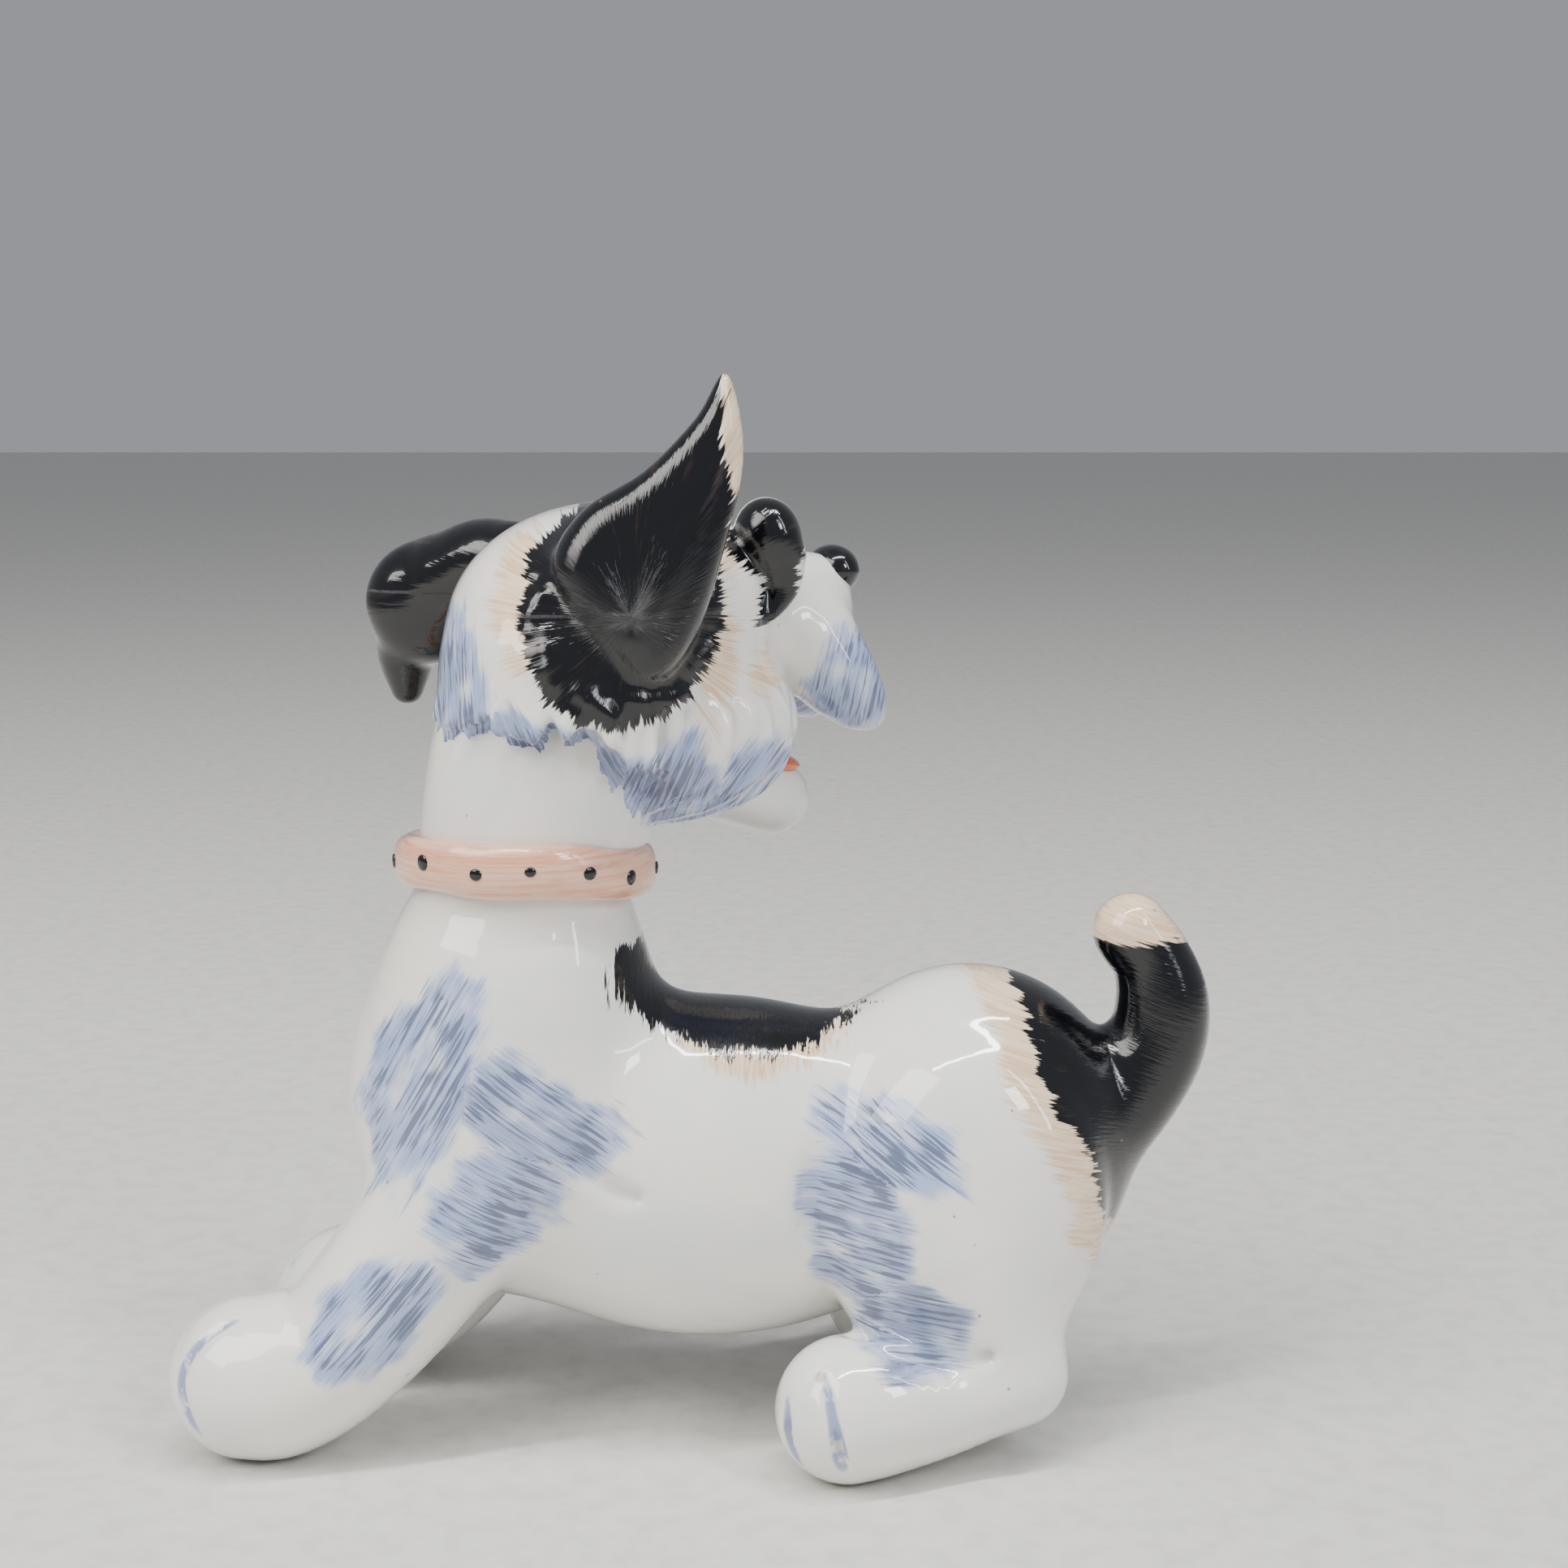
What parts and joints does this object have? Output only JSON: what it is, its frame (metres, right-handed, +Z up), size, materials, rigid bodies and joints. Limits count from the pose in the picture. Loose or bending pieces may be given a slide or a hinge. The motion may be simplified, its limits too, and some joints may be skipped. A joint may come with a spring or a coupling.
{
  "type": "ceramic dog figurine",
  "caption": "Glazed earthenware terrier figurine in a crouched play pose, head turned back over its shoulder, one ear up, one folded, with a collar and a curled tail.",
  "frame": {"origin": "middle of the figure's footprint, on the surface it stands on", "axes": "+Z up; the body's mid-plane is parallel to XZ with the chest towards -X and the tail towards +X; the dog's left side faces -Y"},
  "size_m": [0.1931, 0.0877, 0.1976],
  "materials": {
    "body_glaze": "gloss glaze over painted underglaze colours",
    "head_glaze": "gloss glaze over painted underglaze colours",
    "muzzle_glaze": "gloss glaze over painted underglaze colours",
    "jaw_glaze": "gloss glaze",
    "leg_glaze": "gloss glaze over painted underglaze colours",
    "tail_glaze": "gloss glaze over black, tip left buff",
    "ear_glaze": "gloss black glaze, worn at the edge",
    "brow_glaze": "gloss black glaze",
    "eye_glaze": "gloss glaze, painted iris and pupil",
    "black_enamel": "gloss black enamel",
    "collar_glaze": "gloss glaze over brushed peach colour",
    "tongue_glaze": "gloss orange-red glaze"
  },
  "bodies": {
    "root": {"body_casting": "body_glaze", "head_casting": "head_glaze", "collar_band": "collar_glaze", "collar_dots": "black_enamel", "muzzle": "muzzle_glaze", "nose_button": "black_enamel", "lower_jaw": "jaw_glaze", "tongue": "tongue_glaze", "left_brow": "brow_glaze", "right_brow": "brow_glaze", "left_eye": "eye_glaze", "right_eye": "eye_glaze", "left_ear": "ear_glaze", "right_ear": "ear_glaze", "tail": "tail_glaze", "left_foreleg": "leg_glaze", "right_foreleg": "leg_glaze", "left_hind_leg": "leg_glaze", "right_hind_leg": "leg_glaze"}
  },
  "joints": []
}
